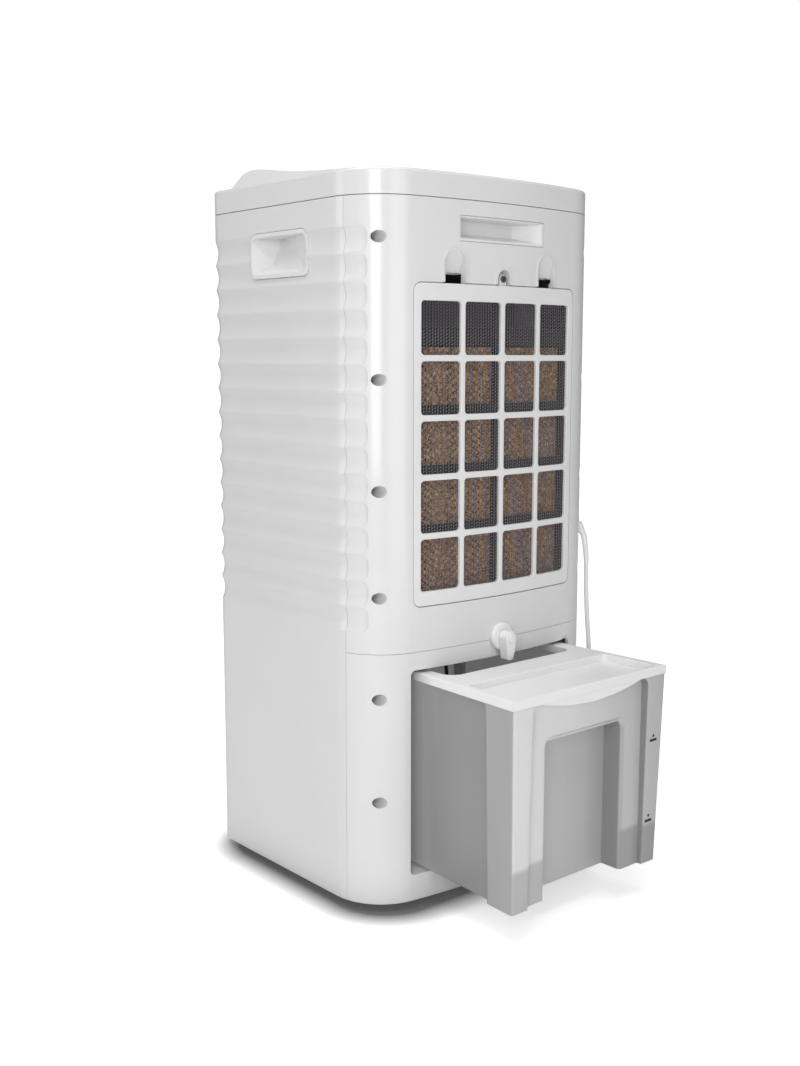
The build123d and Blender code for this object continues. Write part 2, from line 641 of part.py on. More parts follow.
def pump_body():
    """Submersible pump standing clear of the tank's floor, with its intake grille and chamber."""
    body = span(PUMP_X - 22, PUMP_X + 22, PUMP_Y - 12, PUMP_Y + 14, 48, 100)
    body -= rod((PUMP_X - 10, PUMP_Y, 47), (PUMP_X - 10, PUMP_Y, 66), 9.5)
    for index in range(5):
        z = 72 + index * 5
        body -= span(PUMP_X - 14, PUMP_X + 14, PUMP_Y + 12.6, PUMP_Y + 15, z, z + 2)
    return body - rod((PUMP_X - 10, PUMP_Y, 60), (PUMP_X - 10, PUMP_Y, 90), 1.55)


def pump_impeller():
    """Four-bladed impeller on its spindle."""
    x = PUMP_X - 10
    wheel = rod((x, PUMP_Y, 54), (x, PUMP_Y, 57), 3.5) + rod((x, PUMP_Y, 52), (x, PUMP_Y, 88), 1.5)
    blade = span(x - 8, x + 8, PUMP_Y - 0.8, PUMP_Y + 0.8, 52, 62)
    cross = span(x - 0.8, x + 0.8, PUMP_Y - 8, PUMP_Y + 8, 52, 62)
    return wheel + blade + cross


def riser_pipe():
    """Stiff pipe from the pump up through the deck."""
    x = PUMP_X - 10
    pipe = rod((x, PUMP_Y, 100), (x, PUMP_Y, 250), 6.5)
    return pipe - rod((x, PUMP_Y, 99), (x, PUMP_Y, 251), 4.8)


def tube_along(points, radius, bore=0.0):
    """A round tube along straight runs joined by arcs as large as the runs allow."""
    spots = [Vector(*point) for point in points]
    radii = []
    for before, here, after in zip(spots, spots[1:], spots[2:]):
        run = min((here - before).length, (after - here).length)
        turn = math.radians((here - before).get_angle(after - here))
        radii.append(0.45 * run / math.tan(turn / 2))
    path = FilletPolyline(*points, radius=radii)
    start = Plane(origin=spots[0], z_dir=spots[1] - spots[0])
    tube = sweep(start * Circle(radius), path=path)
    if bore:
        tube -= sweep(start * Circle(bore), path=path)
    return tube


def water_hose():
    """Flexible hose from the riser pipe, beside the blower, to the distributor."""
    x = PUMP_X - 10
    points = [(x, PUMP_Y, 250), (x - 4, PUMP_Y + 2, 262), (x - 26, 36, 268), (-112, 50, 282)]
    points += [(-121, 57, 310), (-120, 58, 370), (-121, 56, 440), (-120, 59, 500)]
    points += [(-121, 66, 535), (-121, 84, 552), (-116, 95.5, 553), (-108, 97, 553)]
    return tube_along(points, 5.0)


def pump_lead():
    """Black flexible lead of the pump, hanging from the deck."""
    x = PUMP_X + 12
    points = [(x, PUMP_Y, 252), (x + 0.6, PUMP_Y, 215), (x - 3.5, PUMP_Y, 180), (x - 8, PUMP_Y, 140)]
    points += [(x - 8.5, PUMP_Y, 100)]
    return tube_along(points, 2.0)


def scroll_housing():
    """Blower scroll: round casing with an upward throat, open inlet and a seat for the motor."""
    y0, y1 = SCROLL_FRONT_Y, SCROLL_REAR_Y
    outer = rod((FAN_X, y0 - SHEET, FAN_Z), (FAN_X, y1 + SHEET, FAN_Z), SCROLL_R + SHEET)
    outer += span(THROAT_X0 - SHEET, THROAT_X1 + SHEET, y0 - SHEET, y1 + SHEET, FAN_Z, DUCT_LOW_Z)
    inner = rod((FAN_X, y0, FAN_Z), (FAN_X, y1, FAN_Z), SCROLL_R)
    inner += span(THROAT_X0, THROAT_X1, y0, y1, FAN_Z, DUCT_LOW_Z + 1)
    casing = outer - inner
    casing -= rod((FAN_X, y1 - 1, FAN_Z), (FAN_X, y1 + 5, FAN_Z), 64)
    return casing - rod((FAN_X, y0 - 5, FAN_Z), (FAN_X, y0 + 1, FAN_Z), 20)


def air_duct():
    """Duct from the scroll's throat to the outlet frame."""
    y0, y1 = OUTLET_REAR_Y + 0.3, SCROLL_REAR_Y + SHEET
    x = OUTLET_HALF_W
    duct = span(-x, x, y0, y1, DUCT_LOW_Z, OUTLET_TOP_Z)
    duct -= span(-x + SHEET, x - SHEET, y0 - 1, y1 - SHEET, DUCT_LOW_Z + SHEET, OUTLET_TOP_Z - SHEET)
    return duct - span(THROAT_X0, THROAT_X1, SCROLL_FRONT_Y, SCROLL_REAR_Y, DUCT_LOW_Z - 1, DUCT_LOW_Z + 4)


def blower_wheel():
    """Forward-curved centrifugal wheel: hub, back plate, two rings and thin curved blades."""
    y0, y1 = WHEEL_FRONT_Y, WHEEL_REAR_Y
    plate_y = -34.0

    def tube(start_y, end_y, outer_r, inner_r):
        ring = rod((0, start_y, 0), (0, end_y, 0), outer_r)
        return ring - rod((0, start_y - 1, 0), (0, end_y + 1, 0), inner_r)

    wheel = tube(plate_y, plate_y + 3, WHEEL_R, SHAFT_R) + tube(plate_y - 6, plate_y + 18, 13, SHAFT_R)
    wheel += tube(y0, y0 + 3, WHEEL_R, WHEEL_R - 14) + tube(y1 - 3, y1, WHEEL_R, WHEEL_R - 14)
    arc = ThreePointArc((WHEEL_R - 14, 0), (WHEEL_R - 8, 2.2), (WHEEL_R - 1, 7.5))
    section = make_face(
        [
            arc,
            Line((WHEEL_R - 1, 7.5), (WHEEL_R - 0.3, 6.6)),
            ThreePointArc((WHEEL_R - 0.3, 6.6), (WHEEL_R - 7.4, 1.0), (WHEEL_R - 14, -1.3)),
            Line((WHEEL_R - 14, -1.3), (WHEEL_R - 14, 0)),
        ]
    )
    plane = Plane(origin=(0, y1 - 1, 0), x_dir=(1, 0, 0), z_dir=(0, -1, 0))
    blade = extrude(plane * section, amount=y1 - y0 - 2)
    blades = [Rot(0, index * 360 / BLADES, 0) * blade for index in range(BLADES)]
    return Pos(FAN_X, 0, FAN_Z) * (wheel + blades)


def blower_shaft():
    """Motor shaft carrying the wheel."""
    return rod((FAN_X, -96, FAN_Z), (FAN_X, -10, FAN_Z), SHAFT_R)


def fan_motor():
    """Motor can with its shaft bore and a vented end."""
    can = rod((FAN_X, -112, FAN_Z), (FAN_X, -76, FAN_Z), MOTOR_R)
    can -= rod((FAN_X, -98, FAN_Z), (FAN_X, -75, FAN_Z), SHAFT_R + RUNNING)
    for index in range(8):
        angle = math.radians(45 * index)
        x = FAN_X + 26 * math.cos(angle)
        z = FAN_Z + 26 * math.sin(angle)
        can -= rod((x, -114, z), (x, -104, z), 5)
    return can


def motor_bracket():
    """Three-armed plate that holds the motor against the scroll."""
    plate = rod((FAN_X, -76, FAN_Z), (FAN_X, -72.5, FAN_Z), 34)
    for index in range(3):
        arm = span(-8, 8, -76, -72.5, 0, 62)
        plate += Pos(FAN_X, 0, FAN_Z) * (Rot(0, 120 * index + 30, 0) * arm)
    return plate - rod((FAN_X, -80, FAN_Z), (FAN_X, -70, FAN_Z), 8)


def louvre_z(index):
    """Height of one louvre's pivot."""
    clear = OUTLET_TOP_Z - OUTLET_LOW_Z - 2 * OUTLET_T
    return OUTLET_LOW_Z + OUTLET_T + clear * (index + 0.5) / LOUVRES


def vane_x(index):
    """Sideways place of one vane's pivot."""
    return (index - (VANES - 1) / 2) * VANE_PITCH


def outlet_frame():
    """Frame of the air outlet with a pivot hole for every louvre and vane pin."""
    x, t = OUTLET_HALF_W, OUTLET_T
    frame = span(-x, x, OUTLET_FRONT_Y, OUTLET_REAR_Y, OUTLET_LOW_Z, OUTLET_TOP_Z)
    frame -= span(-x + t, x - t, -150, -80, OUTLET_LOW_Z + t, OUTLET_TOP_Z - t)
    for index in range(LOUVRES):
        z = louvre_z(index)
        frame -= rod((-x - 1, LOUVRE_Y, z), (x + 1, LOUVRE_Y, z), PIN_R + RUNNING)
    for index in range(VANES):
        vx = vane_x(index)
        frame -= rod((vx, VANE_Y, OUTLET_LOW_Z - 1), (vx, VANE_Y, OUTLET_TOP_Z + 1), PIN_R + RUNNING)
    return frame


def louvre_blade(index):
    """One horizontal louvre with a pin at each end."""
    z = louvre_z(index)
    half = LOUVRE_CHORD / 2
    x = OUTLET_HALF_W - OUTLET_T - 0.6
    section = make_face(
        [
            ThreePointArc((LOUVRE_Y - half, z), (LOUVRE_Y, z + 1.5), (LOUVRE_Y + half, z)),
            ThreePointArc((LOUVRE_Y + half, z), (LOUVRE_Y, z - 1.5), (LOUVRE_Y - half, z)),
        ]
    )
    plane = Plane(origin=(-x, 0, 0), x_dir=(0, 1, 0), z_dir=(1, 0, 0))
    blade = extrude(plane * section, amount=2 * x)
    return blade + rod((-x - 4, LOUVRE_Y, z), (x + 4, LOUVRE_Y, z), PIN_R)


def vane(index):
    """One vertical vane with its pivot pins and the crank pin for the link."""
    x = vane_x(index)
    low = OUTLET_LOW_Z + OUTLET_T + 0.6
    high = OUTLET_TOP_Z - OUTLET_T - 0.6
    half = VANE_CHORD / 2
    blade = span(x - 0.9, x + 0.9, VANE_Y - half, VANE_Y + half, low, high)
    blade -= span(x - 2, x + 2, VANE_Y + 2.4, VANE_Y + half + 1, low - 1, low + 8)
    pin_low = OUTLET_LOW_Z - (5 if index == 0 else -0.4)
    pivot = rod((x, VANE_Y, pin_low), (x, VANE_Y, low + 3), PIN_R)
    upper = rod((x, VANE_Y, high - 3), (x, VANE_Y, OUTLET_TOP_Z - 0.4), PIN_R)
    crank = rod((x, VANE_Y + CRANK_R, low + 1), (x, VANE_Y + CRANK_R, low + 10), 1.2)
    return blade + pivot + upper + crank


def vane_link():
    """Bar that joins the crank pins, so that the vanes swing together."""
    z = OUTLET_LOW_Z + OUTLET_T + 0.6
    y = VANE_Y + CRANK_R
    reach = vane_x(VANES - 1) + 4
    bar = span(-reach, reach, y - 2, y + 2, z + 3.2, z + 6)
    for index in range(VANES):
        x = vane_x(index)
        bar -= rod((x, y, z), (x, y, z + 9), 1.3)
    return bar


def swing_motor():
    """Small gear motor under the first vane, with a hub that takes the vane's pin."""
    x = vane_x(0)
    top = OUTLET_LOW_Z - 0.2
    can = rod((x, VANE_Y, top - 18), (x, VANE_Y, top), 9)
    return can - rod((x, VANE_Y, top - 8), (x, VANE_Y, top + 1), PIN_R + RUNNING)


def tank_hull(low, shrink, back_y, face_y):
    """Tapered block: narrower at the back and at the bottom; shrink moves its sides inwards."""
    slope = (TANK_HALF_FACE - TANK_HALF_BACK) / (TANK_FACE_Y - TANK_BACK_Y)
    drop = TANK_TOP_Z - low

    def section(z, draft, lean):
        back_half = TANK_HALF_BACK + slope * (back_y - TANK_BACK_Y) - shrink - draft
        face_half = TANK_HALF_BACK + slope * (face_y - TANK_BACK_Y) - shrink - draft
        front_y = face_y - lean
        corners = [(-back_half, back_y), (back_half, back_y), (face_half, front_y), (-face_half, front_y)]
        return Pos(0, 0, z) * make_face(Polyline(*corners, close=True))

    draft = TANK_DRAFT * drop / (TANK_TOP_Z - BLOCK_LOW_Z)
    return loft([section(low, draft, 4.0 if face_y > BLOCK_Y else 0.0), section(TANK_TOP_Z, 0, 0)])


def recess_section(y, half_w, grow):
    """Section of the deep recess at one depth; it runs out under the tank."""
    low = BLOCK_LOW_Z - 10
    top = DEEP_TOP_Z + half_w - DEEP_HALF_W
    plane = Plane(origin=(0, y, (low + top) / 2), x_dir=(1, 0, 0), z_dir=(0, -1, 0))
    return plane * RectangleRounded(2 * half_w, top - low, 10 + grow)


def face_recesses(grow):
    """Recesses in the tank's outer face; grow thickens them for the tank's inside."""
    rim_z = TANK_TOP_Z - COVER_T
    low = BLOCK_LOW_Z - 10
    arch_y = TANK_FACE_Y - ARCH_DEPTH - grow
    arch = rounded_window(-ARCH_HALF_W - grow, ARCH_HALF_W + grow, low, rim_z + grow, 9, arch_y, 300)
    deep_x = DEEP_HALF_W + grow
    floor_y = DEEP_FLOOR_Y - grow
    deep = rounded_window(-deep_x, deep_x, low, DEEP_TOP_Z + grow, 10 + grow, floor_y, 300)
    roof_z = DEEP_TOP_Z + 13 + grow
    roof = [(floor_y, DEEP_TOP_Z - 8 + grow), (300, roof_z), (floor_y, roof_z)]
    deep -= side_prism(roof, -100, 100)
    mouth = recess_section(arch_y + 0.2, deep_x + DEEP_FLARE, grow)
    deep += loft([mouth, recess_section(arch_y - 3, deep_x, grow)])
    return arch + deep


def step_corner():
    """Web that rounds the upper inner corner between the tank's side and its proud outer block."""
    rim_z = TANK_TOP_Z - COVER_T
    r = STEP_CORNER_R
    y0 = BLOCK_Y - r
    web = tank_hull(BLOCK_LOW_Z, 0, y0, BLOCK_Y) & span(-200, 200, y0, BLOCK_Y, rim_z - r, rim_z)
    return web - rod((-200, y0, rim_z - r), (200, y0, rim_z - r), r)


def tank():
    """Translucent water tank with the stepped outer block, the arch recess and the deep recess."""
    rim_z = TANK_TOP_Z - COVER_T
    w = TANK_WALL
    narrow = tank_hull(TANK_LOW_Z, BLOCK_PROUD, TANK_BACK_Y, BLOCK_Y)
    block = tank_hull(BLOCK_LOW_Z, 0, BLOCK_Y - 0.5, TANK_FACE_Y)
    hull = narrow + block + step_corner() - face_recesses(0)
    narrow_in = tank_hull(TANK_LOW_Z + w, BLOCK_PROUD + w, TANK_BACK_Y + w, BLOCK_Y + 1)
    block_in = tank_hull(BLOCK_LOW_Z + w, w, BLOCK_Y + w, TANK_FACE_Y - w)
    hollow = narrow_in + block_in - face_recesses(w)
    body = (hull - hollow) & span(-200, 200, -50, 300, 0, rim_z)
    body = fillet(upright_edges(body, ARCH_HALF_W, TANK_FACE_Y - 1, 2.5), ARCH_EDGE_R)
    return fillet(upright_edges(body, TANK_HALF_FACE - 2, TANK_FACE_Y - 2, 2.5), TANK_CORNER_R)


def upright_edges(body, x, y, slack):
    """Long upright edges of both sides whose middles lie near x and y."""
    keep = []
    for edge in body.edges():
        middle = edge.center()
        upright = abs(edge.tangent_at(0.5).Z) > 0.99 and edge.length > 150
        if upright and abs(abs(middle.X) - x) < slack and abs(middle.Y - y) < slack:
            keep.append(edge)
    return keep


def finger_lip():
    """Crescent under the cover's front rim that the fingers hook behind to draw the tank out."""
    rim_z = TANK_TOP_Z - COVER_T
    edges = [
        ThreePointArc((-LIP_HALF_W, rim_z), (0, rim_z - LIP_DROP), (LIP_HALF_W, rim_z)),
        Line((LIP_HALF_W, rim_z), (LIP_HALF_W, rim_z + 2)),
        Line((LIP_HALF_W, rim_z + 2), (-LIP_HALF_W, rim_z + 2)),
        Line((-LIP_HALF_W, rim_z + 2), (-LIP_HALF_W, rim_z)),
    ]
    plane = Plane(origin=(0, TANK_FACE_Y - 6.4, 0), x_dir=(1, 0, 0), z_dir=(0, -1, 0))
    lip = extrude(plane * make_face(edges), amount=-6)
    return fillet([edge for edge in lip.edges() if edge.center().Z < rim_z - 3], 1.2)


def tank_cover():
    """White top frame of the tank: rim, open well, cross band, sunken tray and finger lip."""
    rim_z = TANK_TOP_Z - COVER_T
    plate = tank_hull(BLOCK_LOW_Z, 0, TANK_BACK_Y, TANK_FACE_Y) & span(-200, 200, -50, 300, rim_z, 300)
    well = Pos(0, (TANK_BACK_Y + 166) / 2, rim_z - 1) * extrude(
        RectangleRounded(170, 166 - TANK_BACK_Y - 14, 14), amount=COVER_T + 2
    )
    plate -= well
    tray_mid = (193 + TANK_FACE_Y - 7.5) / 2
    tray_wide = TANK_FACE_Y - 7.5 - 193
    tray = Pos(0, tray_mid, rim_z + 1.8) * extrude(RectangleRounded(190, tray_wide, 5), amount=20)
    plate -= tray
    return fillet(plate.faces().sort_by(Axis.Z)[-1].edges(), COVER_EDGE_R) + finger_lip()


def latch_flange():
    """Fixed round flange of the tank latch, with its hollow stem through the rear panels."""
    z = LATCH_Z
    flange = rod((0, 138.4, z), (0, LATCH_HEAD_Y - 0.4, z), 14.0)
    flange = chamfer(flange.faces().sort_by(Axis.Y)[-1].edges(), 1.6)
    flange += rod((0, 128.6, z), (0, 138.4, z), 8.1)
    return flange - rod((0, 120, z), (0, 170, z), 3.0 + RUNNING)


def latch_lever():
    """Turning lever of the tank latch: round head, flat taper and blunt tip just above the tank's rim."""
    z = LATCH_Z
    head_r = 7.0
    tip_x = 4.2
    round_r = 1.4
    drop = z - LATCH_TIP_Z
    lean = math.atan2(head_r - tip_x, drop)
    wide = (head_r * math.cos(lean), z - head_r * math.sin(lean))
    edges = [
        ThreePointArc((-wide[0], wide[1]), (0, z + head_r), wide),
        Line(wide, (tip_x, LATCH_TIP_Z + round_r)),
        Line((tip_x, LATCH_TIP_Z + round_r), (tip_x - round_r, LATCH_TIP_Z)),
        Line((tip_x - round_r, LATCH_TIP_Z), (round_r - tip_x, LATCH_TIP_Z)),
        Line((round_r - tip_x, LATCH_TIP_Z), (-tip_x, LATCH_TIP_Z + round_r)),
        Line((-tip_x, LATCH_TIP_Z + round_r), (-wide[0], wide[1])),
    ]
    plane = Plane(origin=(0, LATCH_HEAD_Y, 0), x_dir=(1, 0, 0), z_dir=(0, -1, 0))
    lever = extrude(plane * make_face(edges), amount=-10.8)
    end_y = LATCH_HEAD_Y + 10.8
    shave = [(end_y - 2.0, LATCH_TIP_Z - 1), (end_y + 1, z - 4), (end_y + 1, LATCH_TIP_Z - 1)]
    lever -= side_prism(shave, -20, 20)
    lever = fillet([edge for edge in lever.edges() if edge.center().Y > end_y - 0.3], 0.8)
    cap = rod((0, end_y - 1, z), (0, end_y + 1.4, z), 4.6)
    cap = fillet(cap.faces().sort_by(Axis.Y)[-1].edges(), 1.0)
    return lever + cap + rod((0, 126.0, z), (0, LATCH_HEAD_Y, z), 3.0)


def gland_hole():
    """Round hole for the cord gland in the rear corner of the -X side."""
    x, y = EXIT_POINT
    nx, ny = EXIT_DIR
    return rod((x - 12 * nx, y - 12 * ny, GLAND_Z), (x + 6 * nx, y + 6 * ny, GLAND_Z), 9.0)


def cord_gland():
    """Bush in the corner with a short tapered strain relief that points out and down."""
    x, y = EXIT_POINT
    nx, ny = EXIT_DIR
    bush = rod((x - 6 * nx, y - 6 * ny, GLAND_Z), (x + 0.4 * nx, y + 0.4 * ny, GLAND_Z), 8.7)
    start = Vector(x, y, GLAND_Z)
    end = Vector(*CORD_ROUTE[0])
    plane = Plane(origin=start, z_dir=end - start)
    relief = loft([plane * Circle(4.6), plane.offset((end - start).length) * Circle(3.1)])
    return bush + relief


def power_cord():
    """The hanging stretch of the mains lead, and the short tail between coil and plug."""
    hanging = tube_along(CORD_ROUTE, CORD_D / 2)
    tail = rod((-167.2, 14.0, 7.7), (PLUG_X, PLUG_REAR_Y, PLUG_AXIS_Z), CORD_D / 2)
    return [hanging, tail]


def cord_coil():
    """Outer shape of the coiled rest of the lead, lying on the floor beside the tower."""
    x, y = COIL_CENTRE
    ring = Cylinder(COIL_OUT_R, COIL_H) - Cylinder(COIL_IN_R, COIL_H + 2)
    return Pos(x, y, COIL_H / 2 + 0.1) * ring


def plug():
    """Two-pin mains plug lying beside the coil."""
    y1 = PLUG_REAR_Y
    y0 = y1 - PLUG_L
    z = PLUG_AXIS_Z
    neck = rod((PLUG_X, y1, z), (PLUG_X, y1 - 10, z), 5.5)
    body = span(PLUG_X - 12, PLUG_X + 12, y0, y1 - 8, 1.0, 17.0)
    body = fillet(body.edges().filter_by(Axis.Y), 6.0)
    return neck + body


def plug_pins():
    """The plug's two round pins."""
    y0 = PLUG_REAR_Y - PLUG_L
    z = PLUG_AXIS_Z
    return [rod((PLUG_X + s * 6.5, y0, z), (PLUG_X + s * 6.5, y0 - 19, z), 2.2) for s in (-1, 1)]


def save(name, shape):
    """Move a piece, or a group of separate pieces, to the origin and write it."""
    solids = []
    for item in shape if isinstance(shape, list) else [shape]:
        solids += [Pos(0, -ORIGIN_Y, 0) * solid for solid in item.solids()]
    parts[name] = solids[0] if len(solids) == 1 else Compound(children=solids)
    export_step(parts[name], os.path.join("parts", name + ".step"))
    print(name, len(solids))


def main():
    """Build and save every sub-part."""
    os.makedirs("parts", exist_ok=True)
    save("front_shell", front_shell())
    save("rear_shell", rear_shell())
    save("rear_lower_panel", rear_lower_panel())
    save("base_pan", base_pan())
    save("rubber_feet", rubber_feet())
    save("top_lid", top_lid())
    save("control_console", control_console())
    save("display_window", display_window())
    save("control_board", control_board())
    for name, x in zip(BUTTON_NAMES, BUTTON_XS):
        save("button_" + name, console_button(x))
    left, right = both_sides(side_handle_cup())
    save("side_handle_cup_left", left)
    save("side_handle_cup_right", right)
    save("rear_handle_cup", rear_handle_cup())
    save("housing_screws", housing_screws())
    save("grille_frame", grille_frame())
    save("filter_mesh", filter_mesh())
    save("grille_screw", grille_screw())
    save("pad_holder", pad_holder())
    save("cooling_pad", cooling_pad())
    save("water_trough", water_trough())
    save("drip_deck", drip_deck())
    save("pump_body", pump_body())
    save("pump_impeller", pump_impeller())
    save("riser_pipe", riser_pipe())
    save("water_hose", water_hose())
    save("pump_lead", pump_lead())
    save("scroll_housing", scroll_housing())
    save("air_duct", air_duct())
    save("blower_wheel", blower_wheel())
    save("blower_shaft", blower_shaft())
    save("fan_motor", fan_motor())
    save("motor_bracket", motor_bracket())
    save("outlet_frame", outlet_frame())
    for index in range(LOUVRES):
        save("louvre_" + str(index + 1), louvre_blade(index))
    for index in range(VANES):
        save("vane_" + str(index + 1), vane(index))
    save("vane_link", vane_link())
    save("swing_motor", swing_motor())
    save("tank", tank())
    save("tank_cover", tank_cover())
    save("latch_flange", latch_flange())
    save("latch_lever", latch_lever())
    save("cord_gland", cord_gland())
    save("power_cord", power_cord())
    save("cord_coil", cord_coil())
    save("plug", plug())
    save("plug_pins", plug_pins())


main()
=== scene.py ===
import json
import math

import bpy
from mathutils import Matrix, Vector


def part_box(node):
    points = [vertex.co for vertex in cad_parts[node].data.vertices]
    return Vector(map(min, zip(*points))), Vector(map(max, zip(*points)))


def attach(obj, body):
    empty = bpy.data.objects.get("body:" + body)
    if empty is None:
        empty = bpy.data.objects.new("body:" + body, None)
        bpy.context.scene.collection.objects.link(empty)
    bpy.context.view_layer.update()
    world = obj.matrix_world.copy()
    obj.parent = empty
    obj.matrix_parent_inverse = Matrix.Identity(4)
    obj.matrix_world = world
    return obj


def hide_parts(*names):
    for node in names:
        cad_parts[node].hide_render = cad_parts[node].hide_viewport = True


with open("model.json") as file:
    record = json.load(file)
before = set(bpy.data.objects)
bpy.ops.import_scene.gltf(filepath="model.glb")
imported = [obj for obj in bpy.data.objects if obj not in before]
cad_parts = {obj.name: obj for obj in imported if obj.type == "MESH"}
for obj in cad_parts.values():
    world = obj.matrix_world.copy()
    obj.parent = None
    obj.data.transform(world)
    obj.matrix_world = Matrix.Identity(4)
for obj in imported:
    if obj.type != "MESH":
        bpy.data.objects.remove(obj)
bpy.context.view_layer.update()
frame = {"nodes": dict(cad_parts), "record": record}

MM = 0.001
NODES = frame["nodes"]
SHIFT_Y = -0.06185  # the tower's centre line stands this far in front of the footprint's centre
REAR_APEX = 0.1383 + SHIFT_Y  # Y of the bowed rear face on the centre line
BOW_R = 0.752  # radius of that bow, seen from above

CAMERA_AZIMUTH = 139.664
CAMERA_ELEVATION = 8.007
CAMERA_PLACE = (0.8660, 1.0043 + SHIFT_Y, 0.5319)
CAMERA_LENS = 42.285
SENSOR_WIDTH = 36.0

SURROUND_LIT = 0.245  # strength of the surround where it lights the object
SURROUND_SEEN = 1.05  # strength of the surround where the camera sees it
FLOOR_HALF = 12.0
LIGHTS = {  # place, target, size and power
    "key": ((1.45, -0.85, 0.95), (0, -0.05, 0.38), (0.4, 1.7), 3.3),
    "rear_fill": ((1.30, 1.05, 0.75), (0, 0, 0.3), (0.6, 1.0), 9.0),
    "rear_soft": ((0.3, 2.2, 0.6), (0, 0, 0.3), (1.2, 1.2), 8.6),
    "top": ((0.35, 0.15, 2.3), (0, 0, 0.3), (1.8, 1.8), 31.0),
}


# ---------------------------------------------------------------- helpers

def inset_y(x, inset):
    """Y of the bowed rear surface moved inwards by inset."""
    radius = BOW_R - inset
    return REAR_APEX - BOW_R + math.sqrt(radius * radius - x * x)


def new_mesh(name, vertices, faces, smooth=False):
    """A mesh object from plain lists."""
    mesh = bpy.data.meshes.new(name)
    mesh.from_pydata([tuple(v) for v in vertices], [], faces)
    mesh.update()
    if smooth:
        mesh.shade_smooth()
    piece = bpy.data.objects.new(name, mesh)
    bpy.context.scene.collection.objects.link(piece)
    return piece


def dress(piece, material):
    """Give a piece one material."""
    piece.data.materials.clear()
    piece.data.materials.append(material)
    return piece


# ---------------------------------------------------------------- materials

class Nodes:
    """A small helper for building one node material."""

    def __init__(self, name):
        self.material = bpy.data.materials.new(name)
        self.material.use_nodes = True
        self.tree = self.material.node_tree
        self.tree.nodes.clear()
        self.out = self.add("ShaderNodeOutputMaterial")
        self.shader = self.add("ShaderNodeBsdfPrincipled")
        self.link(self.shader.outputs["BSDF"], self.out.inputs["Surface"])
        self.coords = self.add("ShaderNodeTexCoord").outputs["Object"]

    def add(self, kind):
        return self.tree.nodes.new(kind)

    def link(self, source, target):
        self.tree.links.new(source, target)

    def set(self, **values):
        for key, value in values.items():
            self.shader.inputs[key.replace("_", " ")].default_value = value

    def noise(self, scale, detail=2.0, rough=0.5, stretch=(1, 1, 1)):
        mapping = self.add("ShaderNodeMapping")
        mapping.inputs["Scale"].default_value = stretch
        self.link(self.coords, mapping.inputs["Vector"])
        texture = self.add("ShaderNodeTexNoise")
        texture.inputs["Scale"].default_value = scale
        texture.inputs["Detail"].default_value = detail
        texture.inputs["Roughness"].default_value = rough
        self.link(mapping.outputs["Vector"], texture.inputs["Vector"])
        return texture.outputs["Fac"]

    def ramp(self, source, stops):
        ramp = self.add("ShaderNodeValToRGB")
        elements = ramp.color_ramp.elements
        while len(elements) < len(stops):
            elements.new(0.5)
        for element, (place, colour) in zip(elements, stops):
            element.position = place
            element.color = (*colour, 1.0)
        self.link(source, ramp.inputs["Fac"])
        return ramp.outputs["Color"]

    def map_range(self, source, near, far, low=0.0, high=1.0):
        """A node that maps near..far of the source to low..high."""
        node = self.add("ShaderNodeMapRange")
        node.inputs["From Min"].default_value = near
        node.inputs["From Max"].default_value = far
        node.inputs["To Min"].default_value = low
        node.inputs["To Max"].default_value = high
        self.link(source, node.inputs["Value"])
        return node

    def spread(self, source, low, high):
        """Map 0..1 to low..high."""
        return self.map_range(source, 0.0, 1.0, low, high).outputs["Result"]

    def product(self, first, second):
        """One value times another."""
        node = self.add("ShaderNodeMath")
        node.operation = "MULTIPLY"
        self.link(first, node.inputs[0])
        self.link(second, node.inputs[1])
        return node.outputs["Value"]

    def mottle(self, cloud, dark, light):
        """Base colour that wanders between two colours with a noise."""
        self.link(self.ramp(cloud, [(0.3, dark), (0.7, light)]), self.shader.inputs["Base Color"])

    def bump(self, height, strength, distance, edge=0.0):
        node = self.add("ShaderNodeBump")
        if edge:
            bevel = self.add("ShaderNodeBevel")
            bevel.samples = 4
            bevel.inputs["Radius"].default_value = edge
            self.link(bevel.outputs["Normal"], node.inputs["Normal"])
        node.inputs["Strength"].default_value = strength
        node.inputs["Distance"].default_value = distance
        self.link(height, node.inputs["Height"])
        self.link(node.outputs["Normal"], self.shader.inputs["Normal"])


def tint(colour, factor):
    """A colour made lighter or darker."""
    return tuple(min(1.0, channel * factor) for channel in colour)


def greys(stops):
    """Ramp stops of plain greys from (place, tone) pairs."""
    return [(place, (tone, tone, tone)) for place, tone in stops]


def moulded(name, colour, roughness, grain=900.0, bump=0.05, mottle=0.02, edge=0.0, gloss=0.0):
    """Injection-moulded plastic: fine grain, slight flow mottling, uneven gloss."""
    m = Nodes(name)
    m.mottle(m.noise(9.0, 3.0), tint(colour, 1 - mottle), tint(colour, 1 + mottle))
    m.link(m.spread(m.noise(5.0, 2.0), roughness * 0.92, roughness * 1.08), m.shader.inputs["Roughness"])
    m.bump(m.noise(grain, 2.0), bump, 0.0004, edge)
    m.set(IOR=1.5, Coat_Weight=gloss, Coat_Roughness=0.08)
    return m.material


def metal(name, colour, roughness):
    """Plated or turned metal with fine streaks."""
    m = Nodes(name)
    streak = m.noise(300.0, 3.0, stretch=(1, 12, 1))
    m.mottle(streak, tint(colour, 0.85), colour)
    m.link(m.spread(streak, roughness * 0.7, roughness * 1.3), m.shader.inputs["Roughness"])
    m.set(Metallic=1.0)
    return m.material


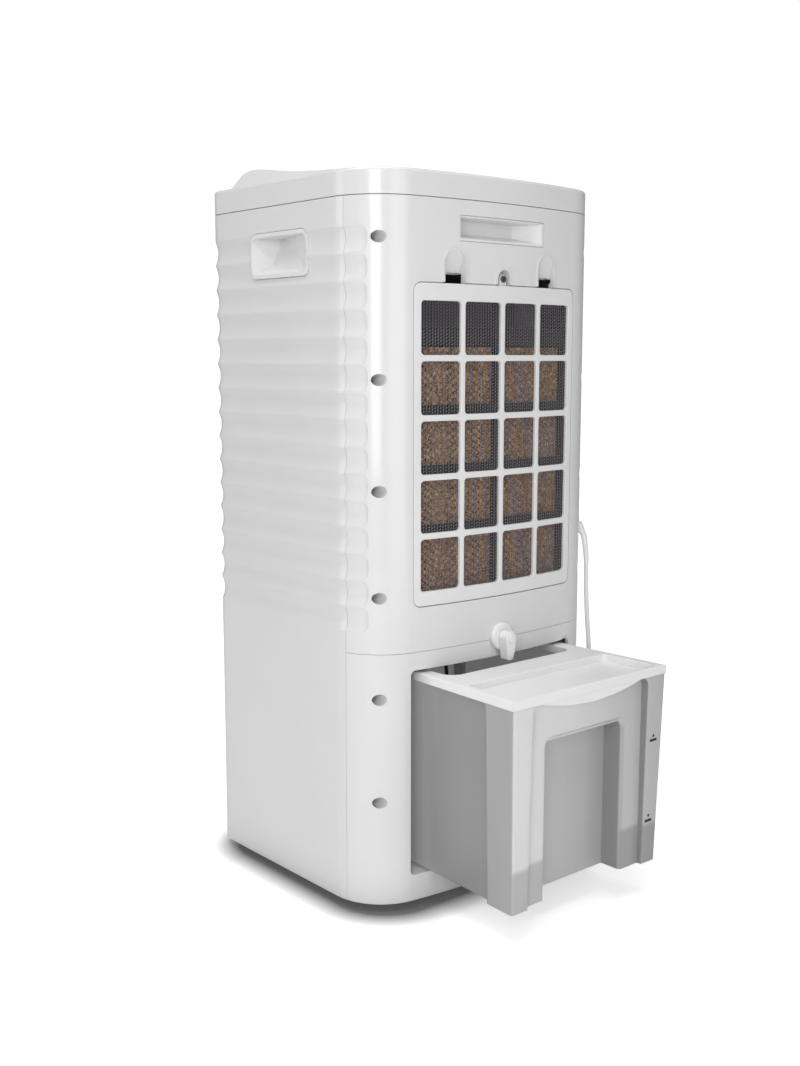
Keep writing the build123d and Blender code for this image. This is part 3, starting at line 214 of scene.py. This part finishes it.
def frosted(name, colour, roughness, transmission):
    """Frosted translucent plastic."""
    m = Nodes(name)
    m.mottle(m.noise(14.0, 4.0, stretch=(1, 1, 0.4)), tint(colour, 0.96), tint(colour, 1.03))
    m.link(m.spread(m.noise(60.0, 3.0), roughness * 0.85, roughness * 1.15), m.shader.inputs["Roughness"])
    m.bump(m.noise(1200.0, 2.0), 0.06, 0.0004)
    m.set(Transmission_Weight=transmission, IOR=1.42)
    return m.material


def tank_frost_painted_shade(name):
    """Frosted polypropylene with painted light and shade: painted light makes the outer block's face
    lighter, painted shade makes its sides greyer, and its foot is darker.

    Places are metres of the frame: Y grows outwards from the tower, X across it and Z upwards.
    """
    m = Nodes(name)
    split = m.add("ShaderNodeSeparateXYZ")
    m.link(m.coords, split.inputs["Vector"])

    def band(axis, near, far, low, high):
        return m.map_range(split.outputs[axis], near, far, low, high)

    # painted shade: side walls darken towards the tower; painted light: faces turned outwards, picked by
    # their normal, get lighter tones
    depth = band("Y", 0.150, 0.200, 0.0, 1.0).outputs["Result"]
    facing = m.add("ShaderNodeSeparateXYZ")
    m.link(m.add("ShaderNodeNewGeometry").outputs["Normal"], facing.inputs["Vector"])
    tone = m.map_range(facing.outputs["Y"], 0.50, 0.85)
    m.link(m.ramp(depth, greys([(0.24, 0.38), (0.30, 0.52)])), tone.inputs["To Min"])
    # the foot of the outer block is darker
    foot = band("Z", 0.072, 0.077, 0.66, 1.0)
    m.link(band("Y", 0.186, 0.190, 1.0, 0.66).outputs["Result"], foot.inputs["To Min"])
    front = m.ramp(depth, greys([(0.30, 0.50), (0.36, 0.70), (0.70, 0.72), (0.79, 0.95)]))
    m.link(m.product(front, foot.outputs["Result"]), tone.inputs["To Max"])
    # painted shade: the half towards the lead's side, away from the lamps, is darker; faint streaks run
    # down the walls
    across = band("X", -0.090, 0.020, 0.68, 1.0).outputs["Result"]
    colour = m.product(tone.outputs["Result"], across)
    colour = m.product(colour, m.spread(m.noise(22.0, 4.0, stretch=(1, 1, 0.15)), 0.93, 1.07))
    m.link(colour, m.shader.inputs["Base Color"])
    # painted light: the part inside the bay glows faintly to lift the shade that falls there
    m.link(band("Y", 0.070, 0.095, 0.10, 0.0).outputs["Result"], m.shader.inputs["Emission Strength"])
    m.link(m.spread(m.noise(60.0, 3.0), 0.26, 0.38), m.shader.inputs["Roughness"])
    m.bump(m.noise(1200.0, 2.0), 0.05, 0.0004, 0.0018)
    m.set(Emission_Color=(0.85, 0.85, 0.85, 1.0), Transmission_Weight=0.3, IOR=1.42)
    m.set(Coat_Weight=0.4, Coat_Roughness=0.12)
    return m.material


def cellulose(name):
    """Brown kraft paper with light and dark fibres."""
    m = Nodes(name)
    fibre = m.noise(240.0, 6.0, 0.75, stretch=(1, 1, 0.45))
    dark, middle, light = (0.18, 0.095, 0.045), (0.54, 0.325, 0.18), (0.86, 0.62, 0.39)
    colour = m.ramp(fibre, [(0.36, dark), (0.5, middle), (0.64, light)])
    m.link(colour, m.shader.inputs["Base Color"])
    m.bump(fibre, 0.4, 0.0006)
    m.set(Roughness=0.9)
    return m.material


WHITE = (0.73, 0.73, 0.73)
MATERIALS = {
    "shell_white": moulded("shell_plastic", WHITE, 0.3, edge=0.0008, gloss=0.5),
    "lid_white": moulded("lid_plastic", WHITE, 0.3, edge=0.0012, gloss=0.5),
    "trim_white": moulded("trim_plastic", (0.76, 0.76, 0.76), 0.3, edge=0.0012),
    "base_grey": moulded("base_plastic", (0.55, 0.55, 0.56), 0.5),
    "foot_rubber": moulded("foot_rubber", (0.04, 0.04, 0.04), 0.75, 500.0, 0.2),
    "screw_steel": metal("screw_steel", (0.25, 0.25, 0.26), 0.4),
    "mesh_dark": moulded("mesh_nylon", (0.200, 0.184, 0.198), 0.45, 1500.0, 0.2),
    "cage_dark": moulded("cage_plastic", (0.022, 0.022, 0.026), 0.5),
    "pad_brown": cellulose("pad_cellulose"),
    "inner_grey": moulded("inner_plastic", (0.10, 0.10, 0.105), 0.5),
    "fan_black": moulded("fan_plastic", (0.03, 0.03, 0.033), 0.45),
    "motor_metal": metal("motor_metal", (0.30, 0.31, 0.33), 0.45),
    "shaft_steel": metal("shaft_steel", (0.60, 0.60, 0.62), 0.3),
    "board_green": moulded("board_mask", (0.03, 0.16, 0.07), 0.35),
    "window_smoke": moulded("window_acrylic", (0.015, 0.015, 0.018), 0.08, mottle=0.1),
    "button_white": moulded("button_plastic", (0.82, 0.82, 0.83), 0.3),
    "hose_clear": frosted("hose_pvc", (0.80, 0.82, 0.83), 0.3, 0.5),
    "lead_black": moulded("lead_rubber", (0.012, 0.012, 0.012), 0.45),
    "tank_frost": tank_frost_painted_shade("tank_polypropylene"),
    "tank_white": moulded("tank_white", (0.84, 0.84, 0.84), 0.3, edge=0.0015),
    "cord_white": moulded("cord_pvc", (0.80, 0.80, 0.80), 0.38),
    "pin_metal": metal("pin_metal", (0.75, 0.74, 0.70), 0.2),
}


def dress_nodes():
    """Give every carried-over CAD node the material of its slot."""
    for part in frame["record"]["subparts"]:
        node = NODES[part["node"]]
        dress(node, MATERIALS[part["material_slot"]])


# ---------------------------------------------------------------- camera and studio

def make_camera():
    """The camera behind the cooler, to the left of its rear face, a little above it."""
    azimuth, elevation = math.radians(CAMERA_AZIMUTH), math.radians(CAMERA_ELEVATION)
    level = math.cos(elevation)
    back = Vector((math.sin(azimuth) * level, -math.cos(azimuth) * level, math.sin(elevation)))
    data = bpy.data.cameras.new("camera")
    data.lens = CAMERA_LENS
    data.sensor_width = SENSOR_WIDTH
    camera = bpy.data.objects.new("camera", data)
    camera.location = CAMERA_PLACE
    camera.rotation_mode = "QUATERNION"
    camera.rotation_quaternion = (-back).to_track_quat("-Z", "Y")
    bpy.context.scene.collection.objects.link(camera)
    bpy.context.scene.camera = camera


def area_light(name, place, target, size, power):
    """A soft rectangular light at place that points at target."""
    data = bpy.data.lights.new(name, "AREA")
    data.shape = "RECTANGLE"
    data.size, data.size_y = size
    data.energy = power
    lamp = bpy.data.objects.new(name, data)
    lamp.location = place
    lamp.rotation_mode = "QUATERNION"
    lamp.rotation_quaternion = (Vector(target) - Vector(place)).to_track_quat("-Z", "Y")
    bpy.context.scene.collection.objects.link(lamp)


def make_studio():
    """Pale floor, soft lights and a bright surround."""
    world = bpy.data.worlds.new("studio")
    bpy.context.scene.world = world
    world.use_nodes = True
    tree = world.node_tree
    tree.nodes.clear()
    out = tree.nodes.new("ShaderNodeOutputWorld")
    grounds = []
    for strength in (SURROUND_LIT, SURROUND_SEEN):
        ground = tree.nodes.new("ShaderNodeBackground")
        ground.inputs["Color"].default_value = (1.0, 1.0, 1.0, 1.0)
        ground.inputs["Strength"].default_value = strength
        grounds.append(ground)
    path = tree.nodes.new("ShaderNodeLightPath")
    mix = tree.nodes.new("ShaderNodeMixShader")
    tree.links.new(path.outputs["Is Camera Ray"], mix.inputs["Fac"])
    tree.links.new(grounds[0].outputs["Background"], mix.inputs[1])
    tree.links.new(grounds[1].outputs["Background"], mix.inputs[2])
    tree.links.new(mix.outputs["Shader"], out.inputs["Surface"])
    corners = [(x * FLOOR_HALF, y * FLOOR_HALF, 0) for x, y in ((-1, -1), (1, -1), (1, 1), (-1, 1))]
    floor = new_mesh("floor", corners, [(0, 1, 2, 3)])
    dress(floor, floor_paper())
    bpy.context.scene.view_settings.view_transform = "Standard"
    for name, setting in LIGHTS.items():
        area_light(name, *setting)


def floor_paper():
    """White paper with a painted contact shadow close round the tower's foot, plain white far away."""
    m = Nodes("floor_paper")

    def vector(operation, source, values=None):
        node = m.add("ShaderNodeVectorMath")
        node.operation = operation
        m.link(source, node.inputs[0])
        if values:
            node.inputs[1].default_value = values
        return node.outputs["Value" if operation == "LENGTH" else "Vector"]

    # painted contact shadow: distance from the tower's foot, taken as a box, darkens the paper's colour
    # and glow
    out = vector("ABSOLUTE", vector("SUBTRACT", m.coords, (0.0, SHIFT_Y, 0.0)))
    out = vector("MAXIMUM", vector("SUBTRACT", out, (0.101, 0.082, 0.0)), (0.0, 0.0, 0.0))
    contact = m.map_range(vector("LENGTH", out), 0.056, 0.102).outputs["Result"]
    shade = m.ramp(contact, greys([(0.0, 0.10), (0.35, 0.45), (0.7, 0.84), (1.0, 0.92)]))
    m.link(shade, m.shader.inputs["Base Color"])
    m.link(shade, m.shader.inputs["Emission Color"])
    # the paper glows only where the camera sees it, more strongly far from the tower
    far = m.map_range(vector("LENGTH", m.coords), 0.6, 2.0).outputs["Result"]
    seen = m.add("ShaderNodeLightPath").outputs["Is Camera Ray"]
    m.link(m.product(m.spread(far, 0.60, 0.95), seen), m.shader.inputs["Emission Strength"])
    m.set(Roughness=0.75)
    return m.material


make_camera()
make_studio()
dress_nodes()


# ---------------------------------------------------------------- mains lead

CORD_D = 0.005
CORD_ROUTE = [
    (-149.3, 114.4, 342.0),
    (-151.2, 116.0, 330.0),
    (-151.9, 116.6, 312.0),
    (-152.3, 116.4, 286.0),
    (-153.8, 117.6, 252.0),
    (-156.0, 120.0, 212.0),
    (-157.6, 121.0, 168.0),
    (-157.8, 119.6, 124.0),
    (-157.0, 118.0, 90.0),
    (-157.0, 118.6, 64.0),
    (-158.0, 117.4, 42.0),
    (-160.5, 111.5, 22.0),
    (-165.0, 100.5, 8.5),
    (-169.5, 84.5, 2.7),
    (-171.0, 66.0, 2.7),
    (-169.5, 48.0, 2.7),
]
COIL_CENTRE = (-204.0, 26.0)
COIL_TURNS = 7
COIL_OUTER = 37.0
COIL_INNER = 19.5
POINTS_PER_TURN = 12
COIL_FLOOR = 2.7  # height of the lead's centre in the lower layer
COIL_LAYER = 5.0  # rise from the lower layer to the upper one
CROSSING_START = 0.46  # share of the coil where the rise starts
CROSSING_SHARE = 0.08


def coil_points():
    """Two flat layers of turns: inwards on the floor, then outwards on top of them."""
    points = []
    total = COIL_TURNS * POINTS_PER_TURN
    for step in range(total + 1):
        share = step / total
        fall = abs(share - 0.5) * 2
        radius = COIL_INNER + (COIL_OUTER - COIL_INNER) * fall
        rise = min(max((share - CROSSING_START) / CROSSING_SHARE, 0.0), 1.0)
        angle = -2 * math.pi * step / POINTS_PER_TURN
        points.append(
            (
                COIL_CENTRE[0] + radius * math.cos(angle),
                COIL_CENTRE[1] + radius * math.sin(angle),
                COIL_FLOOR + COIL_LAYER * rise,
            )
        )
    return points


def spline_curve(name, points, radius):
    """A round curve of one open NURBS spline through control points in metres."""
    data = bpy.data.curves.new(name, "CURVE")
    data.dimensions = "3D"
    data.bevel_depth = radius
    data.bevel_resolution = 6
    data.use_fill_caps = True
    spline = data.splines.new("NURBS")
    spline.points.add(len(points) - 1)
    for point, place in zip(spline.points, points):
        point.co = (*place, 1.0)
    spline.order_u = 3
    spline.use_endpoint_u = True
    spline.resolution_u = 8
    piece = bpy.data.objects.new(name, data)
    bpy.context.scene.collection.objects.link(piece)
    return piece


def in_frame(points):
    """Points in the tower's own millimetres, moved to the frame in metres."""
    return [(x * MM, y * MM + SHIFT_Y, z * MM) for x, y, z in points]


def make_cord():
    """Lead from the gland, down behind the tank and into its coil, ending in the plug."""
    tail = [(-167.3, 14.0, 7.7), (-168.5, 3.0, 8.4), (-171.0, -12.0, 9.0)]
    cord = spline_curve("mains_lead", in_frame(CORD_ROUTE + coil_points() + tail), CORD_D / 2)
    dress(cord, MATERIALS["cord_white"])
    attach(cord, "root")
    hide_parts("power_cord", "cord_coil")


make_cord()


# ---------------------------------------------------------------- pad and filter

PAD_SHEETS = 52
PAD_WAVE = 0.0070
PAD_PAPER = 0.0006
PAD_SLOPE = 0.8  # rise of a wave for each unit of depth, up and down by turns
PAD_SWAY = 0.46  # swing of a wave as a share of the sheets' pitch
PHASE_SPREAD, PHASE_STEP = 2.4, 12.9898  # the sheets' waves start at uneven phases
FILTER_SLIM, FILTER_FAT, FILTER_THREAD = 0.00012, 0.00085, 0.00009  # half widths
FILTER_HALF_DEPTH = 0.00026
FILTER_WAVE = 0.0031
FILTER_PITCH = 0.0032
FILTER_SWAY = 0.12  # swing of a strand as a share of the strands' pitch
FILTER_INSET = 0.0039  # depth of the net below the rear face
ROWS_PER_WAVE = 6
THREAD_STEPS = 24


def make_pad():
    """Corrugated pad: upright sheets with waves that slope alternately up and down."""
    low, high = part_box("cooling_pad")
    pitch = (high[0] - low[0]) / PAD_SHEETS
    rows, deep = 200, 8
    vertices, faces = [], []
    for sheet in range(PAD_SHEETS):
        x0 = low[0] + pitch * (sheet + 0.5)
        slope = PAD_SLOPE if sheet % 2 else -PAD_SLOPE
        sway = 0.0 if sheet in (0, PAD_SHEETS - 1) else PAD_SWAY * pitch
        start = PHASE_SPREAD * math.sin(PHASE_STEP * sheet)
        base = len(vertices)
        for row in range(rows + 1):
            z = low[2] + (high[2] - low[2]) * row / rows
            for step in range(deep + 1):
                y = low[1] + (high[1] - low[1]) * step / deep
                phase = 2 * math.pi * (z + slope * y) / PAD_WAVE + start
                x = x0 + sway * math.sin(phase)
                vertices.append((x, y, z))
        for row in range(rows):
            for step in range(deep):
                a = base + row * (deep + 1) + step
                faces.append((a, a + 1, a + deep + 2, a + deep + 1))
    pad = new_mesh("corrugated_pad", vertices, faces, smooth=True)
    thick = pad.modifiers.new("paper", "SOLIDIFY")
    thick.thickness = PAD_PAPER
    thick.offset = 0.0
    dress(pad, MATERIALS["pad_brown"])
    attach(pad, "root")
    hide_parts("cooling_pad")


def make_filter():
    """Knitted filter behind the grille: wavy upright strands joined by thin level threads."""
    low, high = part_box("filter_mesh")
    rise = FILTER_WAVE / ROWS_PER_WAVE
    columns = int((high[0] - low[0]) / FILTER_PITCH)
    pitch = (high[0] - low[0]) / columns
    vertices, faces = [], []

    def strand(centres, sizes_x, size_z):
        """A bar of four sides through (x, z) centres on the bow."""
        base = len(vertices)
        for (x, z), size_x in zip(centres, sizes_x):
            y = inset_y(x, FILTER_INSET)
            for dx, dy in ((-1, -1), (1, -1), (1, 1), (-1, 1)):
                vertices.append((x + dx * size_x, y + dy * FILTER_HALF_DEPTH, z + dx * size_z))
        for index in range(len(centres) - 1):
            a = base + 4 * index
            for edge in range(4):
                faces.append((a + edge, a + (edge + 1) % 4, a + 4 + (edge + 1) % 4, a + 4 + edge))
        faces.append((base + 3, base + 2, base + 1, base))
        end = base + 4 * (len(centres) - 1)
        faces.append((end, end + 1, end + 2, end + 3))

    rows = int((high[2] - low[2]) / rise)
    for column in range(columns):
        x0 = low[0] + pitch * (column + 0.5)
        centres, sizes = [], []
        for row in range(rows + 1):
            z = low[2] + (high[2] - low[2]) * row / rows
            turn = 2 * math.pi * row * rise / FILTER_WAVE + math.pi * column
            centres.append((x0 + FILTER_SWAY * pitch * math.cos(turn), z))
            sizes.append(FILTER_SLIM + (FILTER_FAT - FILTER_SLIM) * max(math.sin(turn), 0.0) ** 2)
        strand(centres, sizes, 0.0)
    levels = int((high[2] - low[2]) / FILTER_WAVE)
    for level in range(levels + 1):
        z = low[2] + FILTER_THREAD + (high[2] - low[2] - 2 * FILTER_THREAD) * level / levels
        places = range(THREAD_STEPS + 1)
        centres = [(low[0] + (high[0] - low[0]) * step / THREAD_STEPS, z) for step in places]
        strand(centres, [0.0] * len(centres), FILTER_THREAD)
    mesh = new_mesh("filter_weave", vertices, faces)
    dress(mesh, MATERIALS["mesh_dark"])
    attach(mesh, "grille")
    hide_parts("filter_mesh")


# ---------------------------------------------------------------- marks on the tank and the console

# middle of a bar (X, Z), and whether its triangle stands above (1) or hangs below (-1)
LEVEL_MARKS = ((-0.0908, 0.1605, 1), (-0.0884, 0.0784, -1))
BAR_HALF_LENGTH, BAR_HALF_HEIGHT = 0.005, 0.00125
TRIANGLE_HALF_WIDTH, TRIANGLE_NEAR, TRIANGLE_FAR = 0.002, 0.0032, 0.0062
MARK_INK = 0.0003
TANK_FACE_Y, TANK_FACE_TOP, TANK_FACE_HEIGHT, TANK_DRAFT = 0.262 + SHIFT_Y, 0.2338, 0.199, 0.004


def make_level_marks():
    """Two level bars with a small triangle each, printed on the tank's outer face."""
    vertices, faces = [], []

    def face_y(z):
        """Y of the tank's outer face, which leans with the mould's draft."""
        return TANK_FACE_Y - TANK_DRAFT * (TANK_FACE_TOP - z) / TANK_FACE_HEIGHT

    def patch(corners):
        base = len(vertices)
        count = len(corners)
        for proud in (0.0, MARK_INK):
            vertices.extend((x, face_y(z) + proud, z) for x, z in corners)
        faces.append(tuple(range(base + count - 1, base - 1, -1)))
        faces.append(tuple(range(base + count, base + 2 * count)))
        for index in range(count):
            after = (index + 1) % count
            faces.append((base + index, base + after, base + count + after, base + count + index))

    for x, z, point in LEVEL_MARKS:
        left, right = x + BAR_HALF_LENGTH, x - BAR_HALF_LENGTH
        low, high = z - BAR_HALF_HEIGHT, z + BAR_HALF_HEIGHT
        patch([(left, low), (right, low), (right, high), (left, high)])
        low, high = (TRIANGLE_NEAR, TRIANGLE_FAR) if point > 0 else (TRIANGLE_FAR, TRIANGLE_NEAR)
        left, right = x + TRIANGLE_HALF_WIDTH, x - TRIANGLE_HALF_WIDTH
        patch([(left, z + low), (right, z + low), (x, z + high)][::point])
    marks = new_mesh("tank_level_marks", vertices, faces)
    dress(marks, moulded("mark_ink", (0.02, 0.02, 0.02), 0.5))
    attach(marks, "tank")


# the console's button slope, as (Y, Z): its middle, the way up it and the way out of it
SLOPE_MID = (-0.09725 + SHIFT_Y, 0.707)
SLOPE_UP = (0.6347, 0.7727)
SLOPE_OUT = (-0.7727, 0.6347)
INK_DEPTH = 0.00012


def stroke_mesh(name, x, proud, strokes, width, material, body):
    """Thin flat strokes on the console's button slope; u runs along +X and v up the slope."""
    vertices, faces = [], []
    for u0, v0, u1, v1 in strokes:
        du, dv = u1 - u0, v1 - v0
        length = math.hypot(du, dv)
        side = (-dv / length * width / 2, du / length * width / 2)
        base = len(vertices)
        for height in (proud, proud + INK_DEPTH):
            for u, v in ((u0, v0), (u1, v1)):
                for sign in (-1, 1):
                    su, sv = u + sign * side[0], v + sign * side[1]
                    vertices.append(
                        (
                            x + su,
                            SLOPE_MID[0] + SLOPE_UP[0] * sv + SLOPE_OUT[0] * height,
                            SLOPE_MID[1] + SLOPE_UP[1] * sv + SLOPE_OUT[1] * height,
                        )
                    )
        a = base
        faces += [(a, a + 1, a + 3, a + 2), (a + 4, a + 6, a + 7, a + 5), (a, a + 2, a + 6, a + 4)]
        faces += [(a + 1, a + 5, a + 7, a + 3), (a, a + 4, a + 5, a + 1), (a + 2, a + 3, a + 7, a + 6)]
    piece = new_mesh(name, vertices, faces)
    dress(piece, material)
    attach(piece, body)


def arc_strokes(radius, start, end, count):
    """Short strokes along an arc, in degrees."""
    angles = [math.radians(start + (end - start) * step / count) for step in range(count + 1)]
    spots = [(radius * math.cos(a), radius * math.sin(a)) for a in angles]
    return [(*here, *after) for here, after in zip(spots, spots[1:])]


def make_console_marks():
    """Generic symbols on the four buttons and two digits on the display window."""
    mm = MM
    ink = moulded("symbol_ink", (0.10, 0.10, 0.11), 0.5)
    power = arc_strokes(2.3 * mm, 120, 420, 14) + [(0, 0.9 * mm, 0, 3.0 * mm)]
    speed = [(x * mm, -2.2 * mm, x * mm, h * mm) for x, h in ((-1.8, -0.6), (0, 0.8), (1.8, 2.2))]
    swing = [(-2.6 * mm, 0, 2.6 * mm, 0)]
    for side in (-1, 1):
        for v in (-1.2, 1.2):
            swing.append((side * 2.6 * mm, 0, side * 1.3 * mm, v * mm))
    cool = []
    for degrees in (90, 150, 210):
        turn = math.radians(degrees)
        u, v = 2.5 * mm * math.cos(turn), 2.5 * mm * math.sin(turn)
        cool.append((-u, -v, u, v))
    symbols = {"power": (-78, power), "speed": (-48, speed), "swing": (48, swing), "cool": (78, cool)}
    for name, (x, strokes) in symbols.items():
        button = "button_" + name
        stroke_mesh("symbol_" + name, x * mm, 1.2 * mm, strokes, 0.45 * mm, ink, button)
    lit = moulded("display_segment", (0.55, 0.75, 0.80), 0.4)
    glow = lit.node_tree.nodes["Principled BSDF"].inputs
    glow["Emission Color"].default_value = (0.6, 0.9, 1.0, 1.0)
    glow["Emission Strength"].default_value = 0.6
    segments = {
        "a": (-1.8, 3.6, 1.8, 3.6),
        "b": (2.1, 3.3, 2.1, 0.3),
        "c": (2.1, -0.3, 2.1, -3.3),
        "d": (-1.8, -3.6, 1.8, -3.6),
        "e": (-2.1, -0.3, -2.1, -3.3),
        "f": (-2.1, 3.3, -2.1, 0.3),
        "g": (-1.8, 0.0, 1.8, 0.0),
    }
    strokes = []
    for centre, digit in ((-3.6, "abged"), (3.6, "afgcd")):
        for key in digit:
            u0, v0, u1, v1 = segments[key]
            strokes.append(((centre + u0) * mm, v0 * mm, (centre + u1) * mm, v1 * mm))
    stroke_mesh("display_digits", 0.0, 0.2 * mm, strokes, 0.7 * mm, lit, "root")


# ---------------------------------------------------------------- strain reliefs

def make_strain_relief(name, route, wide, slim):
    """A smooth sleeve that tapers along the lead."""
    sleeve = spline_curve(name, in_frame(route), 1.0 * MM)
    points = sleeve.data.splines[0].points
    for index, point in enumerate(points):
        point.radius = wide + (slim - wide) * index / (len(points) - 1)
    dress(sleeve, MATERIALS["cord_white"])
    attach(sleeve, "root")


make_pad()
make_filter()
make_level_marks()
make_console_marks()
make_strain_relief("strain_relief", CORD_ROUTE[:3], 3.2, 2.7)
PLUG_ROUTE = [(-170.6, -10.0, 8.9), (-169.8, -4.0, 8.7), (-168.4, 5.0, 8.2), (-167.5, 12.0, 7.8)]
make_strain_relief("plug_relief", PLUG_ROUTE, 4.2, 2.7)
